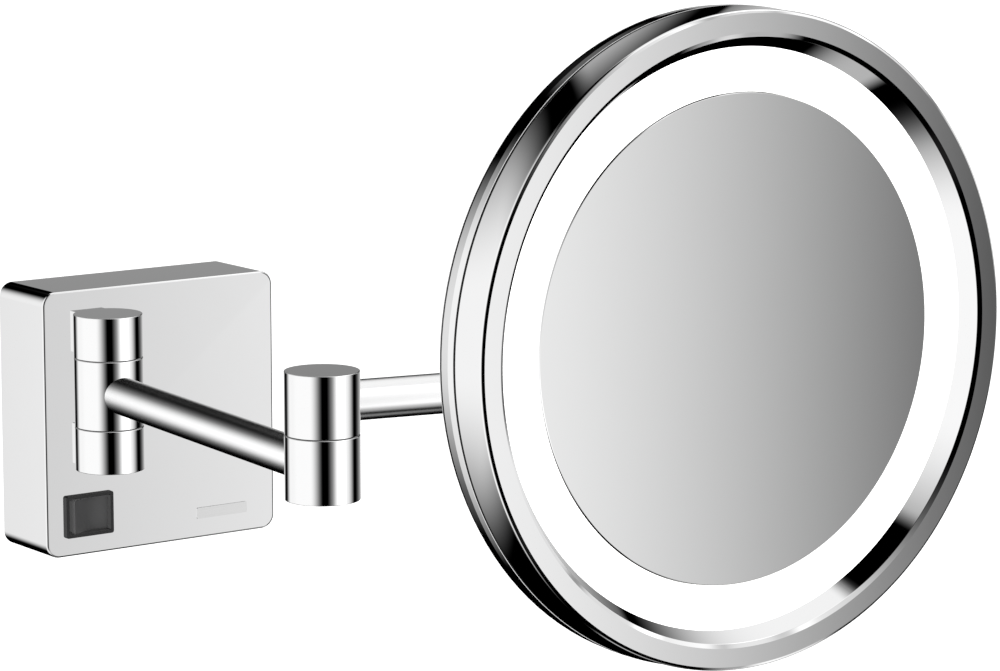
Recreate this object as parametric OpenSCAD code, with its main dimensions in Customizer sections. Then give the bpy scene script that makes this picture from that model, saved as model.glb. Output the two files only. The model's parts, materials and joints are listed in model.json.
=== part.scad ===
// Extendable illuminated shaving mirror: wall box, two hinged arms, tilting round head.
// Millimetres. Wall plane at Y = 0, the mirror stands out along -Y, +Z is up.
// The origin is the centre of the wall plate's back face.

/* [Wall box] */
// Width and height of the square cover box
box_w = 94; // [90:1:110]
// Depth of the box from the wall to its front face
box_d = 31; // [29:1:40]
// Corner radius of the square outline
box_r = 5; // [4:0.5:10]
// Small bevel round the front face
box_bevel = 0.8; // [0.4:0.1:1.2]
// Thickness of the side walls
cover_t = 2; // [1.5:0.5:3]
// Thickness of the front wall
front_t = 3; // [2:0.5:4]

/* [Wall screws] */
// Distance between the plate's screw holes, both ways
hole_pitch = 68; // [60:1:72]
// Diameter of the plate's screw holes
hole_dia = 5; // [4:0.1:5.5]
// Thickness of the wall plate
plate_t = 2; // [1.5:0.5:2.5]

/* [Knuckles and tubes] */
// Diameter of the hinge knuckles
knuckle_dia = 24; // [22:0.5:26]
// Outer diameter of the arm tubes
tube_dia = 13; // [11:0.5:13]
// Wall thickness of the arm tubes
tube_wall = 1.2; // [0.8:0.1:1.5]
// Diameter of the hollow hinge pins
pin_dia = 8; // [7:0.5:8]
// Radial running clearance of the hinge pins
run_gap = 0.05; // [0.02:0.01:0.1]

/* [Arms] */
// Length of arm 1 between hinge axes
arm_1_len = 155; // [120:1:200]
// Length of arm 2 between hinge axes
arm_2_len = 114; // [100:1:160]
// Direction of arm 1 seen from above, 0 along the wall to the right
arm_1_angle = -95; // [-120:1:-60]
// Direction of arm 2 seen from above
arm_2_angle = -12; // [-30:1:30]

/* [Head] */
// Outer diameter of the head
head_dia = 210; // [190:1:220]
// Thickness of the head at its back plate
head_t = 24; // [23:1:28]
// Diameter of the mirror glass
glass_dia = 156; // [140:1:160]
// Thickness of the mirror glass
glass_t = 4; // [3:0.5:4]
// Direction the head faces seen from above
head_pan = -90; // [-110:1:-70]
// Upward tilt of the head
head_tilt = 1; // [-10:1:10]

/* [Switch] */
// Centre of the rocker switch on the front face, sideways
switch_x = -31; // [-32:0.5:-28]
// Centre of the rocker switch, height
switch_z = -32.5; // [-34:0.5:-31]
// Angle of the rocker on its "on" side
rocker_tilt = 10; // [8:1:11]

/* [Hidden] */
$fn = 96;
e = 0.01;

chrome = [0.86, 0.87, 0.88];
steel = [0.62, 0.63, 0.65];
black = [0.08, 0.08, 0.09];
white = [0.93, 0.93, 0.91];

// wall hinge
kr = knuckle_dia / 2;
pr = pin_dia / 2;
tr = tube_dia / 2;
hinge_x = -30;
hinge_d = box_d + 3 + kr;
bot_z0 = -14;
bot_z1 = 1;
top_z0 = 25.5;
top_z1 = 40.5;
seam = 0.3;
arm_1_z = (bot_z1 + top_z0) / 2;
neck_w = 12.6;
lead_r = 1.1;

// elbow and wrist
elb_z0 = 3;
elb_z1 = 23.6;
elb_z2 = 23.9;
elb_z3 = 44;
arm_2_z = 33.75;
wri_z0 = 23.5;
wri_z1 = 43.85;
wri_z2 = 44.15;
wri_z3 = 59;
head_z = 51.5;
pin_bore = 2.6;

// head, measured along its own axis from the tilt pin to the front
tilt_reach = 21;
front_h = 31;
back_h = front_h - head_t;
hr = head_dia / 2;
gr = glass_dia / 2;
lamp_h = front_h - 6.5;
seam_h = front_h - 13.5;
ring_in = hr - 7.8;
wall_in = hr - 12.5;
drum_r = hr - 0.65;
boss_r = hr - 6.8;
pad_t = 1;
plate_top = lamp_h - glass_t - pad_t - 0.1;
lead_h = back_h + 8.6;

// ---------- placement ----------
module at_wall_hinge() { translate([hinge_x, -hinge_d, 0]) children(); }
module along_arm_1() { at_wall_hinge() rotate([0, 0, arm_1_angle]) children(); }
module at_elbow() { along_arm_1() translate([arm_1_len, 0, 0]) children(); }
module along_arm_2() { at_elbow() rotate([0, 0, arm_2_angle - arm_1_angle]) children(); }
module at_wrist() { along_arm_2() translate([arm_2_len, 0, 0]) children(); }
// +X points the way the head faces
module facing() { at_wrist() rotate([0, 0, head_pan - arm_2_angle]) children(); }
// +Z is the head's axis, the tilt pin runs through the origin along Y
module in_head() {
  facing() translate([tilt_reach, 0, head_z]) rotate([0, 90 - head_tilt, 0]) children();
}
// lays a drawing of the front face (x across, y up) at depths d0 to d1 in front of the wall
module slab(d0, d1) { rotate([90, 0, 0]) translate([0, 0, d0]) linear_extrude(d1 - d0) children(); }
// round bar along -Y at x, z
module along_depth(x, z, d0, d1, r) {
  translate([x, -d0, z]) rotate([90, 0, 0]) cylinder(h = d1 - d0, r = r);
}

// ---------- shared shapes ----------
module round_square(w, h, r) {
  square([w - 2 * r, h], center = true);
  square([w, h - 2 * r], center = true);
  for (i = [-1, 1], j = [-1, 1]) translate([i * (w / 2 - r), j * (h / 2 - r)]) circle(r);
}
// upright knuckle with a fine bevel at both ends
module knuckle(z0, z1, c = 0.25) {
  translate([0, 0, z0]) cylinder(h = c, r1 = kr - c, r2 = kr);
  translate([0, 0, z0 + c]) cylinder(h = z1 - z0 - 2 * c, r = kr);
  translate([0, 0, z1 - c]) cylinder(h = c, r1 = kr, r2 = kr - c);
}
module ring(r0, r1, z0, z1) {
  translate([0, 0, z0]) difference() {
    cylinder(h = z1 - z0, r = r1);
    translate([0, 0, -1]) cylinder(h = z1 - z0 + 2, r = r0);
  }
}
module upright(r, z0, z1) { translate([0, 0, z0]) cylinder(h = z1 - z0, r = r); }
// bar along +X
module along_x(r, x0, x1, z) { translate([x0, 0, z]) rotate([0, 90, 0]) cylinder(h = x1 - x0, r = r); }
// insulated lead through points, bars joined by balls
module lead(p, r = lead_r) {
  for (i = [0:len(p) - 2]) {
    v = p[i + 1] - p[i];
    translate(p[i]) rotate([0, acos(v[2] / norm(v)), atan2(v[1], v[0])])
      cylinder(h = norm(v), r = r, $fn = 24);
  }
  for (i = [1:len(p) - 2]) translate(p[i]) sphere(r * 1.2, $fn = 24);
}
// hollow pin with a side window for the lead
module hollow_pin(z0, z1, w0, w1, turn) {
  difference() {
    upright(pr, z0, z1);
    upright(pin_bore, z0 - 1, z1 + 1);
    rotate([0, 0, turn]) translate([0, -pr - 1, w0]) cube([pr + 1, 2 * pr + 2, w1 - w0]);
  }
}
// screw along +Z: round head below, shank upwards
module screw(head_r, head_h, r, len) {
  difference() {
    translate([0, 0, -head_h]) cylinder(h = head_h, r = head_r);
    translate([0, 0, -head_h - 1]) cylinder(h = 1 + head_h * 0.5, r = head_r * 0.45, $fn = 6);
  }
  cylinder(h = len, r = r);
}

// ---------- wall box ----------
module wall_plate() color(steel) {
  difference() {
    slab(0, plate_t) round_square(box_w - 7, box_w - 7, 5);
    for (i = [-1, 1], j = [-1, 1])
      along_depth(i * hole_pitch / 2, j * hole_pitch / 2, -1, plate_t + 1, hole_dia / 2);
    slab(-1, plate_t + 1) translate([0, -6]) round_square(30, 18, 4);
    for (x = [-27.5, 31.5]) along_depth(x, 19, -1, plate_t + 1, 1.5);
  }
  // flanges bent forward, the lower ones take the grub screws
  for (x = [-24, 24], s = [-1, 1]) difference() {
    translate([x - 8, -plate_t - 11, s > 0 ? box_w / 2 - 5.5 : -box_w / 2 + 3.5])
      cube([16, 11 + e, 2]);
    if (s < 0) translate([x, -plate_t - 6, -box_w / 2 + 3]) cylinder(h = 3, r = 1.55);
  }
}

module box_cover() color(chrome) difference() {
  union() {
    slab(0, box_d - box_bevel) round_square(box_w, box_w, box_r);
    hull() {
      slab(box_d - box_bevel - e, box_d - box_bevel) round_square(box_w, box_w, box_r, $fn = 32);
      slab(box_d - e, box_d)
        round_square(box_w - 2 * box_bevel, box_w - 2 * box_bevel, box_r - box_bevel, $fn = 32);
    }
  }
  slab(-1, box_d - front_t) round_square(box_w - 2 * cover_t, box_w - 2 * cover_t, box_r - cover_t);
  slab(box_d - front_t - 1, box_d + 1) translate([switch_x, switch_z]) square([17.4, 13.2], center = true);
  for (z = bracket_screw_z) along_depth(hinge_x, z, box_d - front_t - 1, box_d + 1, 2.1);
  along_depth(hinge_x, cable_z, box_d - front_t - 1, box_d + 1, 2.3);
  for (x = [-24, 24]) translate([x, -plate_t - 6, -box_w / 2 - 1]) cylinder(h = cover_t + 2, r = 1.8);
}

module cover_grub_screws() color(steel)
  for (x = [-24, 24]) translate([x, -plate_t - 6, -box_w / 2 + 0.4]) difference() {
    cylinder(h = 6, r = 1.5);
    translate([0, 0, -1]) cylinder(h = 2.6, r = 0.75, $fn = 6);
  }

module led_driver() color(white) difference() {
  union() {
    slab(plate_t, 21) translate([2, 19]) round_square(50, 24, 2);
    slab(plate_t, plate_t + 3) translate([2, 19]) square([66, 9], center = true);
  }
  for (x = [-27.5, 31.5]) along_depth(x, 19, 0, 8, 1.55);
}

module driver_screws() color(steel)
  for (x = [-27.5, 31.5]) translate([x, -plate_t - 3, 19]) rotate([-90, 0, 0]) screw(2.6, 1.8, 1.45, 4.8);

block_x = 17;
block_z = -26;
module terminal_block() color(white) difference() {
  slab(plate_t, 16) translate([block_x, block_z]) round_square(30, 15, 1);
  for (i = [-1:1]) {
    translate([block_x + i * 9.5, -7, block_z - 9]) cylinder(h = 18, r = 1.8);
    along_depth(block_x + i * 9.5, block_z, 8.85, 17, 2.1);
  }
}

module terminal_screws() color(steel)
  for (i = [-1:1]) difference() {
    along_depth(block_x + i * 9.5, block_z, 8.9, 13.5, 2);
    translate([block_x + i * 9.5 - 2.5, -14, block_z - 0.3]) cube([5, 1.2, 0.6]);
  }

bracket_screw_z = [-10.5, -2.5, 29, 37.2];
cable_z = 33.1;
module wall_leads() {
  color(black) {
    // mains leads from the terminal block to the driver
    for (x = [-9.5, 0]) lead([[block_x + x, -7, block_z + 2], [block_x + x, -7, 6.9]]);
    // switch lead
    lead([[block_x + 9.5, -7, block_z + 2], [block_x + 9.5, -7, -14], [16, -23.5, -14],
      [-12, -23.5, -20], [-24, -10, -29], [-24, -10, -33.45], [-32, -10, -33.45]]);
    lead([[-32, -11, -29.45], [-27.5, -11, -29.45], [-27.5, -11, -10], [-14, -11, -10], [-14, -11, 6.9]]);
  }
  // low-voltage lead through the neck into the hollow pin
  color([0.8, 0.1, 0.1])
    lead([[-10, -21.1, 22], [-10, -25, 22], [-10, -25, cable_z], [hinge_x, -25, cable_z],
      [hinge_x, -hinge_d, cable_z], [hinge_x, -hinge_d, 18.5]]);
}

module blank_badge() color(steel)
  translate([24.5, 0, -38]) slab(box_d, box_d + 0.4) round_square(21, 4, 0.6);

// ---------- switch ----------
piv_d = 29;
module switch_housing() color(black) translate([switch_x, 0, switch_z]) difference() {
  union() {
    slab(box_d, box_d + 2.5) round_square(19, 15, 0.8);
    slab(14, box_d + e) square([17, 12.8], center = true);
  }
  slab(23.5, box_d + 3) square([15.7, 11.4], center = true);
  for (s = [-1, 1]) translate([0, -piv_d, s > 0 ? 5.5 : -6.5]) cylinder(h = 1, r = 1.06);
}

module switch_terminals() color([0.8, 0.7, 0.4])
  for (z = [-30, -35]) translate([switch_x - 2.4, -14, z - 0.4 - (z < -33 ? 0 : 1)]) difference() {
    cube([4.8, 7.5, 0.8]);
    translate([2.4, 5, -1]) cylinder(h = 3, r = 0.9);
  }

module switch_rocker() color([0.12, 0.12, 0.13])
  translate([switch_x, -piv_d, switch_z]) rotate([0, 0, rocker_tilt]) {
    translate([0, 0, -5.5]) linear_extrude(11)
      polygon([[-7, -4.2], [-3.6, -3.5], [0, -3.2], [3.6, -3.5], [7, -4.2], [7, 0.5], [2.2, 2.6],
        [-2.2, 2.6], [-7, 0.5]]);
    translate([0, 0, -6.2]) cylinder(h = 12.4, r = 1);
  }

// ---------- wall hinge ----------
module bracket(z0, z1, screws) difference() {
  union() {
    at_wall_hinge() knuckle(z0, z1);
    translate([hinge_x - neck_w / 2, -hinge_d + 2, z0 + 0.4])
      cube([neck_w, hinge_d - box_d - 2, z1 - z0 - 0.8]);
  }
  for (z = screws) along_depth(hinge_x, z, box_d - 1, box_d + 9, 1.97);
}

module bracket_top() color(chrome) difference() {
  bracket(top_z0, top_z1, [29, 37.2]);
  at_wall_hinge() upright(pr + 0.02, top_z0 - 1, 37);
  along_depth(hinge_x, cable_z, box_d - 1, hinge_d, 2);
}

module bracket_bottom() color(chrome) difference() {
  bracket(bot_z0, bot_z1, [-10.5, -2.5]);
  at_wall_hinge() {
    upright(pr + 0.02, bot_z0 - 1, bot_z1 + 1);
    upright(6.6, bot_z0 - 1, bot_z0 + 4);
  }
}

module bracket_screws() color(steel)
  for (z = bracket_screw_z) translate([hinge_x, -box_d + front_t, z]) rotate([90, 0, 0])
    screw(2.8, 1.5, 1.95, front_t + 8.5);

module wall_pin() color(steel) at_wall_hinge() {
  difference() {
    hollow_pin(bot_z0 + 4 - e, 36.8, 9.5, 17.5, arm_1_angle);
    translate([-2.2, 0, 30.9]) cube([4.4, 6, 4.4]);
  }
  difference() {
    upright(6.4, bot_z0 + 0.6, bot_z0 + 4);
    upright(2.5, bot_z0 - 1, bot_z0 + 3, $fn = 6);
  }
}

module wall_washers() color(black) at_wall_hinge() {
  ring(pr + 0.1, kr - 0.8, bot_z1, bot_z1 + seam - 0.04);
  ring(pr + 0.1, kr - 0.8, top_z0 - seam + 0.04, top_z0);
}

// ---------- arm 1 ----------
socket_in = 6.6;
module sleeve_1() color(chrome) along_arm_1() difference() {
  knuckle(bot_z1 + seam, top_z0 - seam);
  upright(pr + run_gap, 0, 30);
  along_x(tr, socket_in, kr + 1, arm_1_z);
  along_x(3, 2, kr, arm_1_z);
}

module arm_1_tube() color(chrome) along_arm_1() difference() {
  along_x(tr, socket_in, arm_1_len - socket_in, arm_1_z);
  along_x(tr - tube_wall, 0, arm_1_len, arm_1_z);
}

module elbow_lower() color(chrome) at_elbow() difference() {
  knuckle(elb_z0, elb_z1);
  upright(pr + 0.02, elb_z0 - 1, elb_z1 + 1);
  upright(7, elb_z0 - 1, elb_z0 + 2);
  along_x(tr, -kr - 1, -socket_in, arm_1_z);
  along_x(3, -kr, -2, arm_1_z);
}

module elbow_pin() color(steel) at_elbow() difference() {
  hollow_pin(elb_z0 + 2, elb_z3 - 2.2, 9.5, 17.2, 180);
  // window and retaining groove in the turning part
  rotate([0, 0, arm_2_angle - arm_1_angle]) translate([0, -pr - 1, arm_2_z - 3])
    cube([pr + 1, 2 * pr + 2, 6.5]);
  ring(3.3, pr + 1, 25.2, 28.2);
}

module elbow_cap() color(chrome) at_elbow() upright(6.97, elb_z0 + 0.2, elb_z0 + 2);

module elbow_washer() color(black) at_elbow() ring(pr + 0.1, kr - 0.8, elb_z1, elb_z2 - 0.04);

module arm_1_cable() color([0.8, 0.1, 0.1]) along_arm_1()
  lead([[4.6, 0, arm_1_z], [arm_1_len, 0, arm_1_z], [arm_1_len, 0, 27.5]]);

// ---------- arm 2 ----------
module grub_hole(z) translate([0, 0, z]) rotate([0, -90, 0]) cylinder(h = kr + 1, r = 1.25);

module elbow_upper() color(chrome) along_arm_2() difference() {
  knuckle(elb_z2, elb_z3);
  upright(pr + run_gap, elb_z2 - 1, elb_z3 - 2);
  along_x(tr, socket_in, kr + 1, arm_2_z);
  along_x(3, 2, kr, arm_2_z);
  grub_hole(26.7);
}

module grub(z) translate([-kr + 0.4, 0, z]) rotate([0, 90, 0]) difference() {
  cylinder(h = kr - 4.1, r = 1.2);
  translate([0, 0, -1]) cylinder(h = 2.4, r = 0.65, $fn = 6);
}

module elbow_grub() color(steel) along_arm_2() grub(26.7);

module arm_2_tube() color(chrome) along_arm_2() difference() {
  along_x(tr, socket_in, arm_2_len - socket_in, arm_2_z);
  along_x(tr - tube_wall, 0, arm_2_len, arm_2_z);
}

module wrist_lower() color(chrome) at_wrist() difference() {
  knuckle(wri_z0, wri_z1);
  upright(pr + 0.02, wri_z0 - 1, wri_z1 + 1);
  upright(7, wri_z0 - 1, wri_z0 + 2);
  along_x(tr, -kr - 1, -socket_in, arm_2_z);
  along_x(3, -kr, -2, arm_2_z);
}

module wrist_pin() color(steel) at_wrist() difference() {
  hollow_pin(wri_z0 + 2, wri_z3 - 2.2, arm_2_z - 3.5, arm_2_z + 3.5, 180);
  rotate([0, 0, head_pan - arm_2_angle]) translate([0, -pr - 1, head_z - 2.5])
    cube([pr + 1, 2 * pr + 2, 4.5]);
  ring(3.3, pr + 1, 44.9, 47.9);
}

module wrist_cap() color(chrome) at_wrist() upright(6.97, wri_z0 + 0.2, wri_z0 + 2);

module wrist_washer() color(black) at_wrist() ring(pr + 0.1, kr - 0.8, wri_z1, wri_z2 - 0.04);

module arm_2_cable() color([0.8, 0.1, 0.1]) along_arm_2()
  lead([[4.6, 0, arm_2_z], [arm_2_len, 0, arm_2_z], [arm_2_len, 0, 48]]);

// ---------- neck ----------
eye_r = 5.5;
eye_w = 8;
tilt_r = 2.8;
module wrist_upper() color(chrome) facing() difference() {
  union() {
    knuckle(wri_z2, wri_z3);
    along_x(5, 8, tilt_reach - 6.5, head_z);
    along_x(3.9, tilt_reach - 7, tilt_reach - 2, head_z);
    translate([tilt_reach, eye_w / 2, head_z]) rotate([90, 0, 0]) cylinder(h = eye_w, r = eye_r);
  }
  upright(pr + run_gap, wri_z2 - 1, wri_z3 - 2);
  along_x(1.7, 2, tilt_reach, head_z);
  translate([tilt_reach, eye_w, head_z]) rotate([90, 0, 0]) cylinder(h = 2 * eye_w, r = tilt_r + run_gap);
  grub_hole(46.4);
}

module wrist_grub() color(steel) facing() grub(46.4);

module neck_cable() color([0.8, 0.1, 0.1]) facing() along_x(lead_r, 4.6, tilt_reach - tilt_r - 0.4, head_z);

// ---------- tilt joint, fixed to the head ----------
module across(r, y0, y1) { translate([0, y1, 0]) rotate([90, 0, 0]) cylinder(h = y1 - y0, r = r); }
ear_in = eye_w / 2 + 0.5;
ear_out = ear_in + 3;
module tilt_bracket() color(steel) in_head() difference() {
  union() {
    upright(20, back_h - 0.1 - 2.4, back_h - 0.1);
    for (s = [0, 1]) mirror([0, s, 0]) {
      across(eye_r, ear_in, ear_out);
      translate([-eye_r, ear_in, 0]) cube([2 * eye_r, ear_out - ear_in, back_h - 0.5]);
    }
  }
  // room for the eye between the ears
  across(eye_r + 0.8, -ear_in, ear_in);
  across(tilt_r + 0.02, -ear_out - 1, ear_out + 1);
  for (a = [0:90:270]) rotate([0, 0, a + 45]) translate([15.5, 0, 0]) upright(1.6, 0, 10);
  translate([0, 13.5, 0]) upright(2.6, 0, 10);
}

module tilt_pin() color(steel) in_head() difference() {
  union() {
    across(tilt_r, -ear_out, ear_out + 0.2);
    across(4.6, -ear_out - 2, -ear_out);
  }
  across(1.6, -6, ear_out + 3);
  // inlet for the lead from the neck
  translate([0, 0, -4]) cylinder(h = 4, r = 1.3);
}

module tilt_nut() color(steel) in_head() difference() {
  translate([0, ear_out + 2.2, 0]) rotate([90, 0, 0]) cylinder(h = 2, r = 4.8, $fn = 6);
  across(tilt_r + 0.02, ear_out - 1, ear_out + 0.2);
  across(1.6, ear_out, ear_out + 3);
}

module tilt_washers() color(black) in_head() for (s = [0, 1]) mirror([0, s, 0]) difference() {
  across(4.8, eye_w / 2 + 0.05, ear_in);
  across(tilt_r + 0.1, 0, ear_in + 1);
}

module tilt_screws() color(steel) in_head() for (a = [0:90:270]) rotate([0, 0, a + 45])
  translate([15.5, 0, back_h - 2.5]) screw(2.5, 1.4, 1.45, 6);

module back_stiffener() color(steel) in_head() difference() {
  upright(24, back_h + 2.05, back_h + 3.8);
  for (a = [0:90:270]) rotate([0, 0, a + 45]) translate([15.5, 0, 0]) upright(1.5, 0, 20);
  translate([0, 13.5, 0]) upright(4.2, 0, 20);
}

// ---------- head shell ----------
// quarter arc from angle a0 to a1 round [x, y]
function arc(x, y, r, a0, a1, n = 6) =
  [for (i = [0:n]) let (a = a0 + (a1 - a0) * i / n) [x + r * cos(a), y + r * sin(a)]];
module screw_circle(n = 6) for (i = [0:n - 1])
  rotate([0, 0, 30 + i * 360 / n]) translate([boss_r, 0, 0]) children();

module rear_cover() color(chrome) in_head() difference() {
  rotate_extrude($fn = 128) polygon(concat(
    [[0, back_h], [hr - 5, back_h]],
    arc(hr - 4.25, back_h + 4, 4, -90, -4),
    [[hr, seam_h - 3.2], [hr, seam_h - 0.57], [hr - 2.2, seam_h - 0.57], [hr - 2.2, seam_h + 2.2],
      [hr - 3.8, seam_h + 2.2], [hr - 3.8, back_h + 3]],
    arc(hr - 4.8, back_h + 3, 1, 0, -90, 4),
    [[0, back_h + 2]]));
  screw_circle() {
    upright(1.7, back_h - 1, back_h + 4);
    upright(3.2, back_h - 1, back_h + 0.9);
  }
  for (a = [0:90:270]) rotate([0, 0, a + 45]) translate([15.5, 0, 0]) upright(1.6, 0, 20);
  translate([0, 13.5, 0]) upright(3.2, 0, 20);
}

module front_bezel() color(chrome) in_head() difference() {
  union() {
    rotate_extrude($fn = 128) polygon(concat(
      [[hr - 2, seam_h + 0.45]],
      // the drum narrows a little towards the front
      [for (i = [0:3]) let (t = i / 3) [drum_r + 0.65 * (1 - t) * (1 - t), seam_h + 0.45 + 11.8 * t]],
      arc(drum_r - 0.9, front_h - 1.18, 0.9, 15, 60, 3), [[drum_r - 1.15, front_h]],
      [[ring_in, front_h], [ring_in - 1.3, front_h - 0.87], [ring_in - 1.45, front_h - 1.03],
        [wall_in, lamp_h + 0.05], [wall_in + 2.9, lamp_h + 0.05], [wall_in + 2.9, front_h - 3.5],
        [hr - 3.5, front_h - 3.5], [hr - 2, front_h - 5]]));
    screw_circle() upright(2.5, back_h + 2.3, front_h - 2.5);
  }
  screw_circle() upright(1.5, back_h, back_h + 14);
}

module head_screws() color(steel) in_head() screw_circle()
  translate([0, 0, back_h + 0.9]) screw(2.9, 1.5, 1.45, 11);

module seal_ring() color(black) in_head() ring(hr - 2.15, hr - 0.15, seam_h - 0.55, seam_h + 0.43);

module grommet() color(black) in_head() translate([0, 13.5, 0]) {
  ring(1.25, 3.15, back_h, back_h + 2);
  ring(1.25, 4.1, back_h + 2, back_h + 4);
}

// ---------- lamp and glass ----------
// way for the lead out of the pedestal and into the light tray
module lead_way() translate([0, 0, lead_h]) across(1.6, gr - 6, gr + 1.6);

// shallow metal dish: its rim is bonded to the rear cover, its pedestal carries the glass
module mounting_plate() color(steel) in_head() difference() {
  rotate_extrude($fn = 128) polygon([[gr - 3.6, back_h + 2.05], [hr - 12, back_h + 2.05],
    [hr - 12, back_h + 4], [gr - 2, back_h + 4], [gr - 2, plate_top], [0, plate_top],
    [0, plate_top - 1.6], [gr - 3.6, plate_top - 1.6]]);
  lead_way();
}

module light_tray() color(white) in_head() difference() {
  rotate_extrude($fn = 128) polygon([[gr - 1.6, back_h + 4.1], [hr - 12, back_h + 4.1],
    [hr - 12, lamp_h - 2.55], [hr - 13.2, lamp_h - 2.55], [hr - 13.2, back_h + 5.4],
    [gr + 1.4, back_h + 5.4], [gr + 1.4, lamp_h - 2.55], [gr + 0.3, lamp_h - 2.55],
    [gr + 0.3, back_h + 5.4], [gr - 1.6, back_h + 5.4]]);
  lead_way();
}

module led_board() color([0.95, 0.95, 0.95]) in_head() ring(gr + 1.7, hr - 13.5, back_h + 5.45, back_h + 7);

led_n = 48;
module leds() color([1, 0.97, 0.85]) in_head() for (i = [0:led_n - 1]) rotate([0, 0, i * 360 / led_n])
  translate([(gr + hr - 12) / 2 - 1.75, -1.4, back_h + 7]) cube([3.5, 2.8, 0.8]);

module diffuser_ring() color([1, 1, 1]) in_head() ring(gr + 0.35, hr - 10, lamp_h - 2.5, lamp_h);

// flat glass, silvered at the back, with a fine polished bevel at the rim
module mirror_glass() color([0.75, 0.77, 0.8]) in_head() rotate_extrude($fn = 128)
  polygon([[0, lamp_h - glass_t], [gr - 0.3, lamp_h - glass_t], [gr, lamp_h - glass_t + 0.3],
    [gr, lamp_h - 0.5], [gr - 0.8, lamp_h], [0, lamp_h]]);

module mirror_pad() color(white) in_head() upright(64, plate_top + 0.02, plate_top + 0.05 + pad_t);

module head_cable() color([0.8, 0.1, 0.1]) in_head()
  lead([[0, -1, 0], [0, 10.5, 0], [0, 13.5, 3.5], [0, 13.5, lead_h], [0, gr + 4, lead_h],
    [0, gr + 4, back_h + 7.05]]);

wall_plate();
box_cover();
cover_grub_screws();
led_driver();
driver_screws();
terminal_block();
terminal_screws();
wall_leads();
switch_housing();
switch_terminals();
switch_rocker();
bracket_top();
bracket_bottom();
bracket_screws();
wall_pin();
wall_washers();
blank_badge();
sleeve_1();
arm_1_tube();
elbow_lower();
elbow_pin();
elbow_cap();
elbow_washer();
arm_1_cable();
elbow_upper();
elbow_grub();
arm_2_tube();
wrist_lower();
wrist_pin();
wrist_cap();
wrist_washer();
arm_2_cable();
wrist_upper();
wrist_grub();
neck_cable();
tilt_bracket();
tilt_pin();
tilt_nut();
tilt_washers();
tilt_screws();
back_stiffener();
rear_cover();
head_screws();
mounting_plate();
light_tray();
led_board();
leds();
diffuser_ring();
mirror_pad();
mirror_glass();
front_bezel();
seal_ring();
grommet();
head_cable();
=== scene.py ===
"""Looks of the extendable shaving mirror: a chromed wall box, folding arm and lit round head."""

import json
import math

import bmesh
import bpy
from mathutils import Matrix, Vector

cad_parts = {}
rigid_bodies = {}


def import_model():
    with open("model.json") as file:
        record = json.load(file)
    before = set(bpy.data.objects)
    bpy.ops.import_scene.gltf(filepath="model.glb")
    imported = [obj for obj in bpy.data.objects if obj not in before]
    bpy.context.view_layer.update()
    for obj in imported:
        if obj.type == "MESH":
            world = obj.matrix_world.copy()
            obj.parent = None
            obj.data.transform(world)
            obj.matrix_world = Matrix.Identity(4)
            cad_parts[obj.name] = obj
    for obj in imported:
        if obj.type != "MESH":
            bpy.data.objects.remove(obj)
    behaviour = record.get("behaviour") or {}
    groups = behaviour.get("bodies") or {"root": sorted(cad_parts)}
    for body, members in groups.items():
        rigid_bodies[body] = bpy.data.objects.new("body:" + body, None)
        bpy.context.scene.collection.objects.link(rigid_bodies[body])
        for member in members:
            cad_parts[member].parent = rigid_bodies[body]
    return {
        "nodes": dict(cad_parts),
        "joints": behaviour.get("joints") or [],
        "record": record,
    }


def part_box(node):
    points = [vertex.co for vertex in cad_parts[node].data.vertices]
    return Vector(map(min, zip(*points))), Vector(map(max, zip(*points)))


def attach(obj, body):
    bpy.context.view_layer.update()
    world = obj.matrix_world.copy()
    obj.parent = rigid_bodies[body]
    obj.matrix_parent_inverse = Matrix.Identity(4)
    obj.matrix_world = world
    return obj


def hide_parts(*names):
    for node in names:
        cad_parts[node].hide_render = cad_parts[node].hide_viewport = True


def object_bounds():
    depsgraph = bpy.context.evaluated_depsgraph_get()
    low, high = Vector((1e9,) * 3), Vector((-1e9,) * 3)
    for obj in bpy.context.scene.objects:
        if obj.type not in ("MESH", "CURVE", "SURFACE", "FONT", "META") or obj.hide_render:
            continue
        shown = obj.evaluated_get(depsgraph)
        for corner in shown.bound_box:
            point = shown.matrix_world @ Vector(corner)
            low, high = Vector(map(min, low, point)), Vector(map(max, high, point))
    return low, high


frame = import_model()
cad_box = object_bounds()

MM = 0.001
JOINTS = {joint["name"]: joint for joint in frame["joints"]}
UP = Vector((0, 0, 1))

# ---------------------------------------------------------------- places, from the frame
WALL_AXIS = Vector(JOINTS["arm_1_swing"]["pos_m"])
ELBOW_AXIS = Vector(JOINTS["arm_2_swing"]["pos_m"])
WRIST_AXIS = Vector(JOINTS["head_pan"]["pos_m"])
TILT_AXIS = Vector(JOINTS["head_tilt"]["pos_m"])
ROCKER_AXIS = Vector(JOINTS["rocker_switch"]["pos_m"])
HEAD_TILT = math.radians(1)  # at rest the head looks up by one degree
HEAD_FACING = Vector((0, -math.cos(HEAD_TILT), math.sin(HEAD_TILT)))

# ---------------------------------------------------------------- sizes in millimetres
KNUCKLE_R = 12
KNUCKLE_EDGE = 0.25
PIN_BORE_R = 4
RUNNING_BORE_R = 4.05  # the bore of a knuckle that turns on its pin
KNUCKLE_POCKET_R = 7
BRACKET_POCKET_R = 6.6
BRACKET_H = 15
NECK_HALF = 6.3
NECK_INSET = 0.4
TUBE_WALL = 1.2
TUBE_EDGE = 0.2
SWITCH_HOLE = (17.4, 13.2)
SWITCH_BODY = (17.2, 13)
SWITCH_FRAME = (19, 15)
SWITCH_OPENING = (16.6, 12.6)
SWITCH_WELL = (15.7, 11.4)
SWITCH_CORNER = 0.8
WELL_CORNER = 0.4
ROCKER_TURN = math.radians(10)
SEAM_EXTRA = 0.2  # the seam shows this much wider than in the CAD
SEAM_GAP = 0.02


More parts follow.
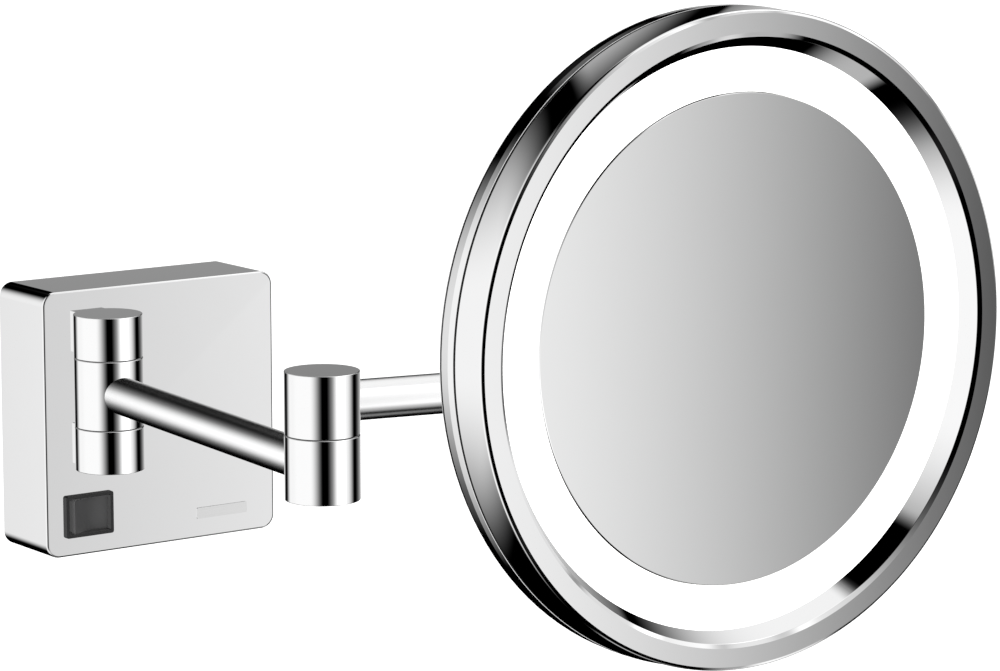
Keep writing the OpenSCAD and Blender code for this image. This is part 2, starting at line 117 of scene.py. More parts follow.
def along(node, origin, axis):
    """Lowest and highest place of a CAD node along an axis, in millimetres from a point on it."""
    reach = [(v.co - origin).dot(axis) for v in frame["nodes"][node].data.vertices]
    return min(reach) / MM, max(reach) / MM


def heights(node):
    """Lowest and highest point of a CAD node in millimetres."""
    return along(node, Vector(), UP)


def head_depths(node):
    """Backmost and frontmost place of a CAD node along the head's own axis, in millimetres."""
    return along(node, TILT_AXIS, HEAD_FACING)


def head_radii(node):
    """Smallest and largest distance of a CAD node's points from the head's axis, in millimetres."""
    out = []
    for v in frame["nodes"][node].data.vertices:
        d = v.co - TILT_AXIS
        out.append((d - HEAD_FACING * d.dot(HEAD_FACING)).length)
    return min(out) / MM, max(out) / MM


def upright_at(origin):
    """Placement with local Z upright through a joint's point, with heights as in the frame."""
    return Matrix.Translation((origin.x, origin.y, 0))


def pointing(origin, axis):
    """Placement with local Z along an axis."""
    return Matrix.Translation(origin) @ axis.to_track_quat("Z", "Y").to_matrix().to_4x4()


HEAD = pointing(TILT_AXIS, HEAD_FACING)


def towards(azimuth, elevation):
    """Direction at these angles in degrees: azimuth 0 looks away from the wall, 90 to the right."""
    turn, rise = math.radians(azimuth), math.radians(elevation)
    return Vector((math.sin(turn) * math.cos(rise), -math.cos(turn) * math.cos(rise), math.sin(rise)))


# ---------------------------------------------------------------- mesh tools
def link(name, bm, matrix=None):
    """Puts a finished shape into the scene, its doubled points merged and its faces turned outwards."""
    mesh = bpy.data.meshes.new(name)
    bmesh.ops.remove_doubles(bm, verts=bm.verts, dist=1e-7)
    bmesh.ops.recalc_face_normals(bm, faces=bm.faces)
    bm.to_mesh(mesh)
    bm.free()
    if matrix is not None:
        mesh.transform(matrix)
    obj = bpy.data.objects.new(name, mesh)
    bpy.context.scene.collection.objects.link(obj)
    return obj


def flat_regions(bm):
    """Area of the flat stretch that each face belongs to."""
    area, seen = {}, set()
    for face in bm.faces:
        if face in seen:
            continue
        stretch, todo = [], [face]
        seen.add(face)
        while todo:
            f = todo.pop()
            stretch.append(f)
            for e in f.edges:
                for g in e.link_faces:
                    if g not in seen and f.normal.dot(g.normal) > 1 - 1e-7:
                        seen.add(g)
                        todo.append(g)
        total = sum(f.calc_area() for f in stretch)
        for f in stretch:
            area[f] = total
    return area


def polish(obj, crease=31):
    """Smooth shading whose normals follow the larger faces, so that flats stay optically flat.
    Edges sharper than the crease angle, in degrees, stay sharp."""
    bm = bmesh.new()
    bm.from_mesh(obj.data)
    bm.normal_update()
    area = flat_regions(bm)
    limit = math.cos(math.radians(crease))
    normals = []
    for face in bm.faces:
        face.smooth = True
        for loop in face.loops:
            n = Vector()
            for g in loop.vert.link_faces:
                if g.normal.dot(face.normal) >= limit:
                    n += g.normal * area[g]
            normals.append(n.normalized())
    bm.to_mesh(obj.data)
    bm.free()
    obj.data.normals_split_custom_set(normals)
    return obj


def arc(x, y, r, start, end, steps=8):
    """Points on an arc round (x, y), angles in degrees."""
    turn = [math.radians(start + (end - start) * i / steps) for i in range(steps + 1)]
    return [(x + r * math.cos(a), y + r * math.sin(a)) for a in turn]


def lathe(name, outline, matrix, steps=256, crease=31):
    """Turns a closed outline of (radius, height) pairs in millimetres round local Z."""
    bm = bmesh.new()
    rings = []
    for r, z in outline:
        count = steps if r > 1e-6 else 1
        rings.append([bm.verts.new((r * MM * math.cos(2 * math.pi * i / steps),
                                    r * MM * math.sin(2 * math.pi * i / steps), z * MM))
                      for i in range(count)])
    for a, b in zip(rings, rings[1:] + rings[:1]):
        if len(a) == 1 and len(b) == 1:
            continue
        for i in range(steps):
            corners = [a[i % len(a)], a[(i + 1) % len(a)], b[(i + 1) % len(b)], b[i % len(b)]]
            bm.faces.new(list(dict.fromkeys(corners)))
    return polish(link(name, bm, matrix), crease)


def extrude(name, loops, matrix):
    """Joins closed loops of equal length into a solid, with a flat face at each end."""
    bm = bmesh.new()
    rings = [[bm.verts.new(Vector(p) * MM) for p in loop] for loop in loops]
    count = len(rings[0])
    for a, b in zip(rings, rings[1:]):
        for i in range(count):
            j = (i + 1) % count
            bm.faces.new([a[i], a[j], b[j], b[i]])
    bm.faces.new(rings[0])
    bm.faces.new(rings[-1])
    return link(name, bm, matrix)


def round_rect(w, h, r, y, steps=12):
    """Rounded rectangle in the XZ plane at depth y in front of the wall."""
    points = []
    for sx, sz, start in ((1, 1, 0), (-1, 1, 90), (-1, -1, 180), (1, -1, 270)):
        points += arc(sx * (w / 2 - r), sz * (h / 2 - r), r, start, start + 90, steps)
    return [(x, -y, z) for x, z in points]


def combine(obj, other, operation):
    """Boolean of two meshes, applied at once; the other mesh is used up."""
    mod = obj.modifiers.new(operation, "BOOLEAN")
    mod.operation = operation
    mod.solver = "EXACT"
    mod.object = other
    apply_modifiers(obj)
    bpy.data.objects.remove(other)


def apply_modifiers(obj):
    """Makes what the modifiers give the object's own mesh."""
    shape = obj.evaluated_get(bpy.context.evaluated_depsgraph_get())
    mesh = bpy.data.meshes.new_from_object(shape)
    obj.modifiers.clear()
    obj.data = mesh
    mesh.name = obj.name


def round_edges(obj, width, angle):
    """Rounds the edges of a solid that are sharper than an angle in degrees, and polishes it."""
    mod = obj.modifiers.new("edges", "BEVEL")
    mod.width = width * MM
    mod.segments = 3
    mod.angle_limit = math.radians(angle)
    apply_modifiers(obj)
    polish(obj)


def finish_piece(obj, body, slot, *nodes):
    """Sets the piece on its body, gives it its slot's material and hides the CAD nodes it stands in
    for.
    """
    obj.data.materials.clear()
    obj.data.materials.append(MATERIALS[slot])
    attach(obj, body)
    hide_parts(*nodes)


# ---------------------------------------------------------------- materials
class Graph:
    """Short forms for the nodes of one shader."""

    def __init__(self, tree):
        self.tree = tree
        tree.nodes.clear()

    def node(self, kind, **inputs):
        """A new node with its inputs filled by name."""
        made = self.tree.nodes.new(kind)
        for key, value in inputs.items():
            self.put(made.inputs[key.replace("_", " ")], value)
        return made

    def put(self, socket, value):
        """Links an output to an input, or sets the input to a plain value."""
        if isinstance(value, bpy.types.NodeSocket):
            self.tree.links.new(value, socket)
        else:
            socket.default_value = value

    def math(self, operation, *values):
        """Result of one sum of outputs and plain values."""
        made = self.tree.nodes.new("ShaderNodeMath")
        made.operation = operation
        for socket, value in zip(made.inputs, values):
            self.put(socket, value)
        return made.outputs[0]

    def step(self, value, start, end, low=0.0, high=1.0):
        """Smooth change from low at start to high at end."""
        made = self.tree.nodes.new("ShaderNodeMapRange")
        made.interpolation_type = "SMOOTHSTEP"
        for key, v in (("Value", value), ("From Min", start), ("From Max", end),
                       ("To Min", low), ("To Max", high)):
            self.put(made.inputs[key], v)
        return made.outputs[0]

    def noise(self, scale, detail=3.0, stretch=(1, 1, 1)):
        """Noise in the object's own space, scale in waves per metre."""
        place = self.tree.nodes.new("ShaderNodeTexCoord").outputs["Object"]
        mapping = self.node("ShaderNodeMapping", Vector=place, Scale=stretch)
        made = self.node("ShaderNodeTexNoise", Vector=mapping.outputs[0], Scale=scale, Detail=detail)
        return made.outputs["Fac"]

    def blend(self, fac, a, b):
        """Colour between a and b."""
        made = self.tree.nodes.new("ShaderNodeMix")
        made.data_type = "RGBA"
        self.put(made.inputs["Factor"], fac)
        self.put(made.inputs["A"], (*a, 1))
        self.put(made.inputs["B"], (*b, 1))
        return made.outputs["Result"]

    def bump(self, height, depth):
        """Normal for a relief of that depth in millimetres."""
        made = self.node("ShaderNodeBump", Height=height, Distance=depth * MM, Strength=1.0)
        return made.outputs[0]


def material(name, metallic=0.0):
    """A principled material, with its graph and shader for further wiring."""
    mat = bpy.data.materials.new(name)
    mat.use_nodes = True
    g = Graph(mat.node_tree)
    shader = g.node("ShaderNodeBsdfPrincipled", Metallic=metallic, IOR=1.5)
    g.node("ShaderNodeOutputMaterial", Surface=shader.outputs[0])
    return mat, g, shader


def chrome(name, tone, haze=0.0, stretch=(1, 1, 1)):
    """Polished plate: nearly a mirror, with faint haze, wiping marks and a trace of orange peel."""
    mat, g, shader = material(name, metallic=1.0)
    cloudy = g.noise(60, 4)
    wiped = g.noise(900, 2, stretch)
    g.put(shader.inputs["Base Color"], g.blend(cloudy, (tone, tone, tone * 1.005), (tone * 0.985,) * 3))
    rough = g.math("ADD", g.step(cloudy, 0.3, 0.75, 0.012 + haze, 0.03 + haze),
                   g.step(wiped, 0.55, 0.8, 0.0, 0.02))
    g.put(shader.inputs["Roughness"], rough)
    g.put(shader.inputs["Normal"], g.bump(g.noise(220, 1), 0.0006))
    return mat


def zinc(name):
    """Zinc plated steel: dull, cloudy, with a fine grain."""
    mat, g, shader = material(name, metallic=1.0)
    cloud = g.noise(140, 5)
    grain = g.noise(2500, 2)
    g.put(shader.inputs["Base Color"], g.blend(cloud, (0.5, 0.51, 0.53), (0.68, 0.69, 0.7)))
    g.put(shader.inputs["Roughness"], g.step(cloud, 0.2, 0.8, 0.24, 0.42))
    g.put(shader.inputs["Normal"], g.bump(grain, 0.01))
    return mat


def moulded(name, dark, light, rough=0.4, grain=0.012, scale=1800, shine=0.5):
    """Moulded plastic or rubber with a fine spark-eroded grain."""
    mat, g, shader = material(name)
    shader.inputs["Specular IOR Level"].default_value = shine
    cloud = g.noise(90, 4)
    pits = g.noise(scale, 3)
    g.put(shader.inputs["Base Color"], g.blend(cloud, dark, light))
    g.put(shader.inputs["Roughness"], g.step(pits, 0.3, 0.7, rough * 0.85, rough * 1.2))
    g.put(shader.inputs["Normal"], g.bump(pits, grain))
    return mat


def brushed(name, tone, rough, stretch):
    """Metal with fine parallel brush lines."""
    mat, g, shader = material(name, metallic=1.0)
    lines = g.noise(1500, 3, stretch)
    g.put(shader.inputs["Base Color"], g.blend(lines, (tone * 0.93,) * 3, (tone,) * 3))
    g.put(shader.inputs["Roughness"], g.step(lines, 0.2, 0.8, rough * 0.8, rough * 1.2))
    g.put(shader.inputs["Normal"], g.bump(lines, 0.002))
    return mat


def brass(name):
    """Plain brass, a little uneven."""
    mat, g, shader = material(name, metallic=1.0)
    cloud = g.noise(300, 4)
    g.put(shader.inputs["Base Color"], g.blend(cloud, (0.62, 0.44, 0.18), (0.83, 0.66, 0.34)))
    g.put(shader.inputs["Roughness"], g.step(cloud, 0.2, 0.8, 0.2, 0.4))
    return mat


def looking_glass(name):
    """Silvered glass: a clean mirror with faint haze."""
    mat, g, shader = material(name, metallic=1.0)
    haze = g.noise(35, 3)
    g.put(shader.inputs["Base Color"], g.blend(haze, (0.89, 0.893, 0.893), (0.875, 0.876, 0.876)))
    g.put(shader.inputs["Roughness"], g.step(haze, 0.35, 0.75, 0.004, 0.018))
    return mat


def opal(name):
    """Lit opal ring: nearly evenly bright, with a faint cloudiness."""
    mat, g, shader = material(name)
    cloud = g.noise(500, 2)
    g.put(shader.inputs["Base Color"], g.blend(cloud, (0.93, 0.93, 0.92), (0.97, 0.97, 0.96)))
    g.put(shader.inputs["Roughness"], g.step(cloud, 0.3, 0.7, 0.35, 0.5))
    shader.inputs["Emission Color"].default_value = (1.0, 0.995, 0.985, 1)
    g.put(shader.inputs["Emission Strength"], g.step(cloud, 0.2, 0.8, 1.22, 1.34))
    return mat


def phosphor(name):
    """Glowing yellow top of a light-emitting diode."""
    mat, g, shader = material(name)
    cloud = g.noise(2500, 2)
    g.put(shader.inputs["Base Color"], g.blend(cloud, (0.95, 0.75, 0.25), (1.0, 0.86, 0.45)))
    g.put(shader.inputs["Roughness"], g.step(cloud, 0.3, 0.7, 0.4, 0.6))
    shader.inputs["Emission Color"].default_value = (1, 0.97, 0.88, 1)
    shader.inputs["Emission Strength"].default_value = 2.0
    return mat


MATERIALS = {
    "chrome_shell": chrome("chrome_shell", 0.9),
    "chrome_knuckle": chrome("chrome_knuckle", 0.93, stretch=(1, 1, 0.06)),
    "chrome_tube": chrome("chrome_tube", 0.93, haze=0.16),
    "zinc_steel": zinc("zinc_steel"),
    "white_plastic": moulded("white_plastic", (0.8, 0.8, 0.78), (0.86, 0.86, 0.84)),
    "brass_parts": brass("brass_parts"),
    "lead_black": moulded("lead_black", (0.015, 0.015, 0.016), (0.03, 0.03, 0.03), rough=0.45),
    "lead_red": moulded("lead_red", (0.42, 0.02, 0.015), (0.55, 0.04, 0.03), rough=0.4),
    "black_plastic": moulded("black_plastic", (0.008, 0.008, 0.009), (0.016, 0.016, 0.017), rough=0.32),
    "rocker_black": moulded("rocker_black", (0.07, 0.07, 0.071), (0.09, 0.09, 0.091), rough=0.35),
    "satin_badge": brushed("satin_badge", 0.86, 0.1, (0.02, 1, 1)),
    "plate_aluminium": brushed("plate_aluminium", 0.8, 0.3, (0.05, 1, 1)),
    "board_white": moulded("board_white", (0.8, 0.8, 0.8), (0.88, 0.88, 0.88), rough=0.3),
    "led_yellow": phosphor("led_yellow"),
    "lit_opal": opal("lit_opal"),
    "foam_white": moulded("foam_white", (0.7, 0.7, 0.68), (0.82, 0.82, 0.8), rough=0.8,
                          grain=0.2, scale=700),
    "silvered_glass": looking_glass("silvered_glass"),
    "black_rubber": moulded("black_rubber", (0.006, 0.006, 0.006), (0.012, 0.012, 0.012), rough=0.6,
                            shine=0.15),
}


def dress_cad_nodes():
    """Every CAD node gets its slot's material; the pieces made below stand in for some of them."""
    for part in frame["record"]["subparts"]:
        node = frame["nodes"][part["node"]]
        node.data.materials.clear()
        node.data.materials.append(MATERIALS[part["material_slot"]])


# ---------------------------------------------------------------- wall unit
def make_box_cover():
    """Hollow square cover with a hole for the switch."""
    lo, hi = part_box("box_cover")
    w, h, d = (hi.x - lo.x) / MM, (hi.z - lo.z) / MM, -lo.y / MM
    corner, side, front = 5, 2, 3
    back_edge, rounding, chamfer, shoulder = 0.2, 0.7, 0.9, 0.92
    loops = [round_rect(w - 2 * side, h - 2 * side, corner - side, 0),
             round_rect(w - 2 * back_edge, h - 2 * back_edge, corner - back_edge, 0),
             round_rect(w, h, corner, back_edge)]
    # rounding that ends in a fine chamfer towards the front
    for inset, depth in arc(rounding, d - shoulder, rounding, 180, 120, 5) + [(chamfer, d)]:
        loops.append(round_rect(w - 2 * inset, h - 2 * inset, corner - inset, depth))
    cover = extrude("cover_shell", loops, None)
    hollow = extrude("hollow", [round_rect(w - 2 * side, h - 2 * side, corner - side, y)
                                for y in (-1, d - front)], None)
    combine(cover, hollow, "DIFFERENCE")
    switch_lo, switch_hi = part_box("switch_housing")
    sx, sz = (switch_lo.x + switch_hi.x) / 2 / MM, (switch_lo.z + switch_hi.z) / 2 / MM
    hx, hz = SWITCH_HOLE[0] / 2, SWITCH_HOLE[1] / 2
    corners = [(sx + hx, sz + hz), (sx - hx, sz + hz), (sx - hx, sz - hz), (sx + hx, sz - hz)]
    hole = extrude("hole", [[(x, y, z) for x, z in corners] for y in (-d + front + 1, -d - 1)], None)
    combine(cover, hole, "DIFFERENCE")
    polish(cover)
    finish_piece(cover, "wall_unit", "chrome_shell", "box_cover")


def knuckle_outline(low, high, bore, closed_at, recess, recess_r):
    """Half section of a knuckle with rounded ends and a bore, which may be closed from a height up
    and may widen to a pocket for a cap at its lower end."""
    r = KNUCKLE_R - KNUCKLE_EDGE
    outside = arc(r, low + KNUCKLE_EDGE, KNUCKLE_EDGE, -90, 0, 6)
    outside += arc(r, high - KNUCKLE_EDGE, KNUCKLE_EDGE, 0, 90, 6)
    mouth = [(bore, low)]
    if recess:
        mouth = [(bore, low + recess), (recess_r, low + recess), (recess_r, low)]
    top = [(0, high), (0, closed_at), (bore, closed_at)] if closed_at else [(bore, high)]
    return mouth + outside + top


def make_knuckle(name, body, axis, bore, closed_at=None, recess=None):
    """A knuckle turned round its hinge axis; recess is the pocket for a cap at its lower end."""
    low, high = heights(name)
    outline = knuckle_outline(low, high, bore, closed_at, recess, KNUCKLE_POCKET_R)
    knuckle = lathe(name + "_turned", outline, upright_at(axis))
    finish_piece(knuckle, body, "chrome_knuckle", name)


def make_bracket(name, closed_at=None, recess=None):
    """Fixed knuckle of the wall hinge with its square neck to the cover."""
    low = heights(name)[0]
    top = low + BRACKET_H
    outline = knuckle_outline(low, top, PIN_BORE_R, closed_at, recess, BRACKET_POCKET_R)
    bracket = lathe(name + "_turned", outline, upright_at(WALL_AXIS))
    cover_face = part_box("box_cover")[0].y / MM
    x, y = WALL_AXIS.x / MM, WALL_AXIS.y / MM
    left, right = x - NECK_HALF, x + NECK_HALF
    foot, head = low + NECK_INSET, top - NECK_INSET
    section = [(left, foot), (right, foot), (right, head), (left, head)]
    neck = extrude("neck", [[(px, py, pz) for px, pz in section] for py in (y + 4.5, cover_face)], None)
    combine(bracket, neck, "UNION")
    polish(bracket)
    finish_piece(bracket, "wall_unit", "chrome_knuckle", name)


def make_switch():
    """Frame of the rocker switch with its well, and the key in it."""
    lo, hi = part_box("switch_housing")
    x, z = (lo.x + hi.x) / 2 / MM, (lo.z + hi.z) / 2 / MM
    cover = -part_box("box_cover")[0].y / MM
    front = -lo.y / MM

    def frame_loop(size, depth, r):
        """Rounded outline round the middle of the switch, at a depth in front of the wall."""
        return [(px + x, py, pz + z) for px, py, pz in round_rect(*size, r, depth, 4)]

    outside = ((SWITCH_BODY, 14), (SWITCH_BODY, cover), (SWITCH_FRAME, cover), (SWITCH_FRAME, front))
    bezel = extrude("switch_bezel", [frame_loop(*part, SWITCH_CORNER) for part in outside], None)
    ledge = cover - 1.5
    inside = ((SWITCH_WELL, 23.5), (SWITCH_WELL, ledge), (SWITCH_OPENING, ledge),
              (SWITCH_OPENING, front + 1))
    well = extrude("well", [frame_loop(*part, WELL_CORNER) for part in inside], None)
    combine(bezel, well, "DIFFERENCE")
    round_edges(bezel, 0.15, 40)
    finish_piece(bezel, "wall_unit", "black_plastic", "switch_housing")

    # the key: a hollow face between two raised ends, drawn in a little at its foot
    half_height, narrowing = 6, 0.92
    place = Matrix.Translation(ROCKER_AXIS) @ Matrix.Rotation(ROCKER_TURN, 4, "Z")
    face = [(7.5, 4.2), (5.6, 3.8), (3.6, 3.5), (1.8, 3.28), (0, 3.2)]
    side = face + [(-px, d) for px, d in reversed(face[:-1])]
    foot = [(-6.86, -0.5), (-2.156, -2.6), (2.156, -2.6), (6.86, -0.5)]
    loops = [[(px, -d, h) for px, d in side] + [(px, -d, h * narrowing) for px, d in foot]
             for h in (-half_height, half_height)]
    rocker = extrude("rocker_key", loops, place)
    round_edges(rocker, 0.2, 30)
    finish_piece(rocker, "rocker", "rocker_black", "switch_rocker")


# ---------------------------------------------------------------- arms
def make_tube(name, body, start_axis):
    """A hollow tube laid along its CAD node's own direction."""
    points = [v.co for v in frame["nodes"][name].data.vertices]
    centre = sum(points, Vector()) / len(points)
    direction = Vector((centre.x - start_axis.x, centre.y - start_axis.y, 0)).normalized()
    lo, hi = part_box(name)
    origin = Vector((start_axis.x, start_axis.y, (lo.z + hi.z) / 2))
    start, end = along(name, origin, direction)
    r = (hi.z - lo.z) / 2 / MM
    outline = [(r - TUBE_WALL, start), (r - TUBE_EDGE, start), (r, start + TUBE_EDGE),
               (r, end - TUBE_EDGE), (r - TUBE_EDGE, end), (r - TUBE_WALL, end)]
    tube = lathe(name + "_turned", outline, pointing(origin, direction))
    finish_piece(tube, body, "chrome_tube", name)


# ---------------------------------------------------------------- head
def make_bezel():
    """Front ring of the head: tapered drum wall, flat front, fine chamfer and sloping inner wall."""
    seam = head_depths("seal_ring")[1] + SEAM_EXTRA + SEAM_GAP
    front = head_depths("front_bezel")[1]
    lamp = head_depths("diffuser_ring")[1] + 0.05  # just clear of the lit ring
    rim = head_radii("front_bezel")[1]
    inner, wall = rim - 7.8, rim - 12.5
    taper, steps = 0.65, 16
    # small rounding at the seam, then the drum wall, drawn in towards the front
    outline = [(rim - 2, seam)] + arc(rim - 0.2, seam + 0.2, 0.2, -90, -6, 3)
    for i in range(1, steps + 1):
        t = i / steps
        outline.append((rim - taper + taper * (1 - t) ** 2, seam + 0.2 + (front - 1.38 - seam) * t))
    # rounding and chamfer at the outer edge, the flat front and its inner edge
    outline += arc(rim - 1.55, front - 1.18, 0.9, 0, 60, 10)[1:] + [(rim - 1.8, front)]
    outline += [(inner, front)] + arc(inner - 1.02, front - 1.285, 0.5, 124, 149, 4)
    # the wall that slopes down to the lamp, then the hidden back of the ring
    outline += [(wall, lamp), (wall + 2.9, lamp), (wall + 2.9, front - 3.5),
                (rim - 3.5, front - 3.5), (rim - 2, front - 5)]
    ring = lathe("bezel_ring", outline, HEAD, 512, 14)
    finish_piece(ring, "head", "chrome_shell", "front_bezel")


def make_seal():
    """Black ring in the groove between the two halves of the head."""
    low, high = head_depths("seal_ring")
    r0 = head_radii("seal_ring")[0]
    outer = head_radii("front_bezel")[1] - 0.15  # a little below the drum's surface
    high += SEAM_EXTRA
    edge = 0.1
    outline = [(r0, low)] + arc(outer - edge, low + edge, edge, -90, 0, 4)
    outline += arc(outer - edge, high - edge, edge, 0, 90, 4) + [(r0, high)]
    seal = lathe("seal_turned", outline, HEAD, 384)
    finish_piece(seal, "head", "black_rubber", "seal_ring")


def make_glass():
    """Mirror disc with fine edges, and the opal ring round it."""
    low, high = head_depths("mirror_glass")
    r = head_radii("mirror_glass")[1]
    back_edge, front_edge = 0.3, 0.15
    outline = [(0, low), (r - back_edge, low), (r, low + back_edge),
               (r, high - front_edge), (r - front_edge, high), (0, high)]
    glass = lathe("mirror_disc", outline, HEAD, 384)
    finish_piece(glass, "head", "silvered_glass", "mirror_glass")

    low, high = head_depths("diffuser_ring")
    r0, r1 = head_radii("diffuser_ring")
    edge = 0.3
    outline = [(r0, low), (r1, low), (r1, high)] + arc(r0 + edge, high - edge, edge, 90, 180, 4)
    ring = lathe("opal_ring", outline, HEAD, 384)
    finish_piece(ring, "head", "lit_opal", "diffuser_ring")


# ---------------------------------------------------------------- studio
def studio_world():
    """White panels round the object with dark gaps between them, as chrome is photographed.
    Angles are in degrees, counted as in towards(). The camera sees plain white."""
    world = bpy.data.worlds.new("studio")
    bpy.context.scene.world = world
    world.use_nodes = True
    g = Graph(world.node_tree)
    direction = g.tree.nodes.new("ShaderNodeTexCoord").outputs["Generated"]
    x, y, z = g.node("ShaderNodeSeparateXYZ", Vector=direction).outputs
    azimuth = g.math("DEGREES", g.math("ARCTAN2", x, g.math("MULTIPLY", y, -1.0)))
    elevation = g.math("DEGREES", g.math("ARCSINE", z))

    def panel(*edges):
        """Product of smooth steps, each given as a value and where it starts and ends."""
        level = 1.0
        for value, *edge in edges:
            level = g.math("MULTIPLY", g.step(value, *edge), level)
        return level

    def spot(level, az, el, inner, outer):
        """Round light at a direction, full within one angle and gone at a larger one."""
        made = g.tree.nodes.new("ShaderNodeVectorMath")
        made.operation = "DOT_PRODUCT"
        g.put(made.inputs[0], direction)
        g.put(made.inputs[1], towards(az, el))
        gone, full = math.cos(math.radians(outer)), math.cos(math.radians(inner))
        return g.step(made.outputs["Value"], gone, full, 0, level)

    lights = [
        # wide panel on the left, reaching round behind
        panel((azimuth, -135, -115), (azimuth, -33, -72, 0, 1.05), (x, -0.1, -0.45),
              (elevation, 90, 25), (elevation, 64, 57), (elevation, -88, -38)),
        panel((azimuth, -170, -146), (azimuth, -115, -135), (elevation, 60, 8), (elevation, -55, -10)),
        # front panel, fading slowly to the left and quickly to the right
        panel((azimuth, -19, 19), (azimuth, 28, 37, 0.7, 1.02), (azimuth, 45, 34.2),
              (elevation, -46, -26), (elevation, 95, 30)),
        # narrow panel behind on the right, fading upwards
        panel((azimuth, 85, 150), (azimuth, 180, 160), (elevation, -15, -11), (elevation, 13, 10),
              (elevation, 24, -14, 0, 0.83)),
        # small round lights that pick out the inner wall of the head's ring
        spot(0.5, 48, 32, 7, 12),
        spot(0.8, 70, 28, 6, 12),
        spot(0.8, 81, 18, 6, 12),
        spot(0.8, 95, 2, 6, 12),
        spot(1.1, 67, 47, 6, 12),
        spot(0.5, 64, -44, 6, 12),
        spot(1.0, 88, -50, 6, 12),
        # wide soft ones from above and from below, kept off the left side
        g.math("MULTIPLY", spot(1.0, 104, 70, 4, 56), g.step(x, 0.0, 0.12)),
        g.math("MULTIPLY", spot(0.5, 130, -84, 6, 24), g.step(x, 0.0, 0.1)),
    ]
    light = 0.0
    for level in lights:
        light = g.math("ADD", level, light)
    seen = g.tree.nodes.new("ShaderNodeLightPath").outputs["Is Camera Ray"]
    strength = g.math("MAXIMUM", light, seen)
    background = g.node("ShaderNodeBackground", Color=(1, 1, 1, 1), Strength=strength)
    g.node("ShaderNodeOutputWorld", Surface=background.outputs[0])


def soft_light(name, pieces, azimuth, elevation, width, height, fade):
    """Large soft light round the object that only some pieces catch. The fade turns the place on
    the light (0 to 1 across and upwards) and the angle off its axis into brightness."""
    reach = 4.0
    middle = Vector((0, -0.15, 0))
    data = bpy.data.lights.new(name, "AREA")
    data.shape = "RECTANGLE"
    data.size, data.size_y = width, height
    data.energy = width * height * math.pi
    data.use_nodes = True
    g = Graph(data.node_tree)
    geometry = g.tree.nodes.new("ShaderNodeNewGeometry")
    across, upward, _ = g.node("ShaderNodeSeparateXYZ", Vector=geometry.outputs["Parametric"]).outputs
    aside = g.math("MULTIPLY", g.math("SUBTRACT", across, 0.5), width / reach)
    above = g.math("MULTIPLY", g.math("SUBTRACT", upward, 0.5), height / reach)
    squares = [g.math("MULTIPLY", part, part) for part in (aside, above)]
    slope = g.math("SQRT", g.math("ADD", *squares))
    angle = g.math("DEGREES", g.math("ARCTANGENT", slope))
    shine = g.node("ShaderNodeEmission", Color=(1, 1, 1, 1), Strength=fade(g, across, upward, angle))
    g.node("ShaderNodeOutputLight", Surface=shine.outputs[0])
    lamp = bpy.data.objects.new(name, data)
    aim = towards(azimuth, elevation)
    lamp.matrix_world = pointing(middle + aim * reach, aim)
    bpy.context.scene.collection.objects.link(lamp)
    lamp.visible_camera = lamp.visible_diffuse = False
    receivers = bpy.data.collections.new(name + "_receivers")
    for obj in pieces:
        receivers.objects.link(obj)
    lamp.light_linking.receiver_collection = receivers


def made_of(*slots):
    """Mesh pieces that carry one of these materials."""
    materials = [MATERIALS[slot] for slot in slots]
    return [obj for obj in bpy.context.scene.objects
            if obj.type == "MESH" and any(slot.material in materials for slot in obj.material_slots)]


def soft_lights():
    """Lights that only the arm, the glass, the box's cover or the head's back catch."""
    def upright_band(g, across, upward, angle):
        """Bright along an upright line, fading to both sides and towards its ends."""
        level = g.math("MULTIPLY", g.step(across, 0.03, 0.46), g.step(across, 0.97, 0.56))
        height_off = g.math("ABSOLUTE", g.math("SUBTRACT", upward, 0.5))
        return g.math("MULTIPLY", level, g.step(height_off, 0.36, 0.08))

    def round_fade(level, edge):
        """Brightest in the middle and gone at an angle."""
        return lambda g, across, upward, angle: g.step(angle, edge, 0, 0, level)

    scene = bpy.context.scene
    soft_light("arm_light", made_of("chrome_knuckle", "chrome_tube"), 36, 0, 7.2, 22.0, upright_band)
    soft_light("tube_light", made_of("chrome_tube"), -157, 0, 7.2, 7.2, round_fade(0.55, 42))
    soft_light("glass_light", [scene.objects["mirror_disc"]], -44, -24, 7.7, 7.7, round_fade(0.95, 43))
    soft_light("cover_light", [scene.objects["cover_shell"]], -28, -48, 4.8, 4.8, round_fade(0.95, 31))
    soft_light("cap_light", made_of("chrome_knuckle"), 182, 36, 5.4, 5.4, round_fade(0.8, 34))
    soft_light("back_light", [frame["nodes"]["rear_cover"]], -145, -45, 4.6, 4.6, round_fade(0.9, 29))


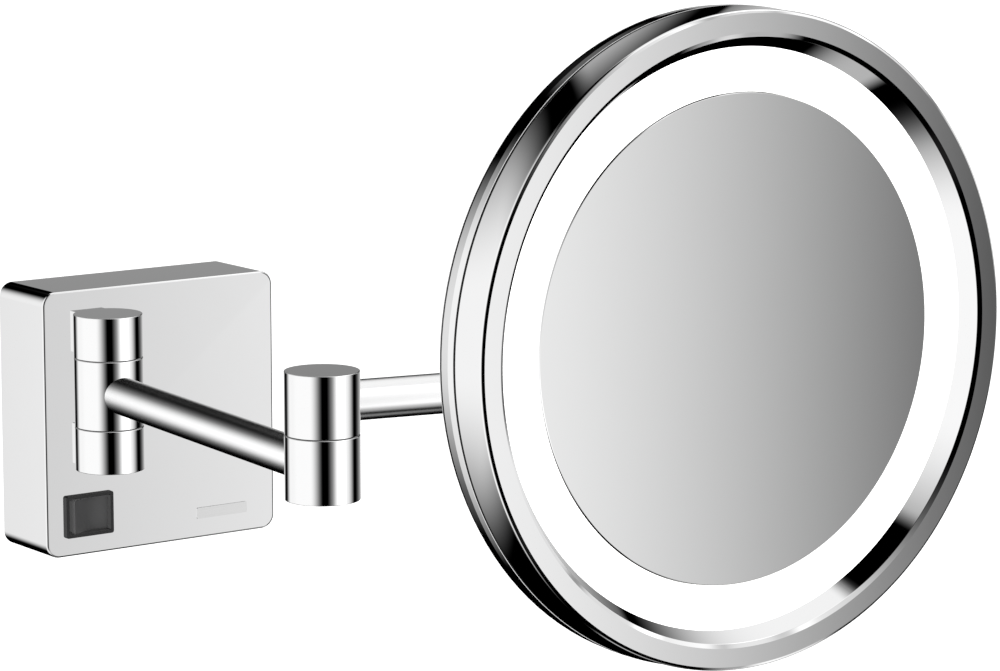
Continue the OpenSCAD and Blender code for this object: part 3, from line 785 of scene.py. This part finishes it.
def make_stage():
    """Evenly lit white floor well below the object; the chrome doesn't mirror it."""
    size, drop = 30, cad_box[0].z - 0.2
    bm = bmesh.new()
    bmesh.ops.create_grid(bm, x_segments=8, y_segments=8, size=size)
    floor = link("floor", bm, Matrix.Translation((0, 0, drop)))
    mat, g, shader = material("floor_paint")
    grain = g.noise(3, 3)
    g.put(shader.inputs["Base Color"], g.blend(grain, (0.6, 0.6, 0.6), (0.62, 0.62, 0.62)))
    shader.inputs["Roughness"].default_value = 0.9
    shader.inputs["Emission Color"].default_value = (1, 1, 1, 1)
    shader.inputs["Emission Strength"].default_value = 1.0
    floor.data.materials.append(mat)
    floor.visible_glossy = False


def make_camera():
    """Camera at the photo's angle, with its place and lens as fitted to the picture."""
    data = bpy.data.cameras.new("camera")
    data.sensor_width = 36
    data.lens = 146.28
    data.clip_start, data.clip_end = 0.05, 100
    camera = bpy.data.objects.new("camera", data)
    camera.location = (-0.73206, -1.24621, 0.26413)
    camera.rotation_euler = (math.radians(90 - 9.49), 0, math.radians(-35.91))
    bpy.context.scene.collection.objects.link(camera)
    bpy.context.scene.camera = camera


# ---------------------------------------------------------------- everything
make_camera()
dress_cad_nodes()
make_box_cover()
make_bracket("bracket_top", closed_at=37)
make_bracket("bracket_bottom", recess=4)
make_switch()
make_knuckle("sleeve_1", "arm_1", WALL_AXIS, RUNNING_BORE_R)
make_tube("arm_1_tube", "arm_1", WALL_AXIS)
make_knuckle("elbow_lower", "arm_1", ELBOW_AXIS, PIN_BORE_R, recess=2)
make_knuckle("elbow_upper", "arm_2", ELBOW_AXIS, RUNNING_BORE_R, closed_at=42)
make_tube("arm_2_tube", "arm_2", ELBOW_AXIS)
make_knuckle("wrist_lower", "arm_2", WRIST_AXIS, PIN_BORE_R, recess=2)
make_bezel()
make_seal()
make_glass()
for obj in bpy.context.scene.objects:
    if obj.type == "MESH":
        obj.visible_glossy = False  # the chrome shows the studio, not its neighbours
studio_world()
soft_lights()
make_stage()
bpy.context.scene.view_settings.view_transform = "Standard"
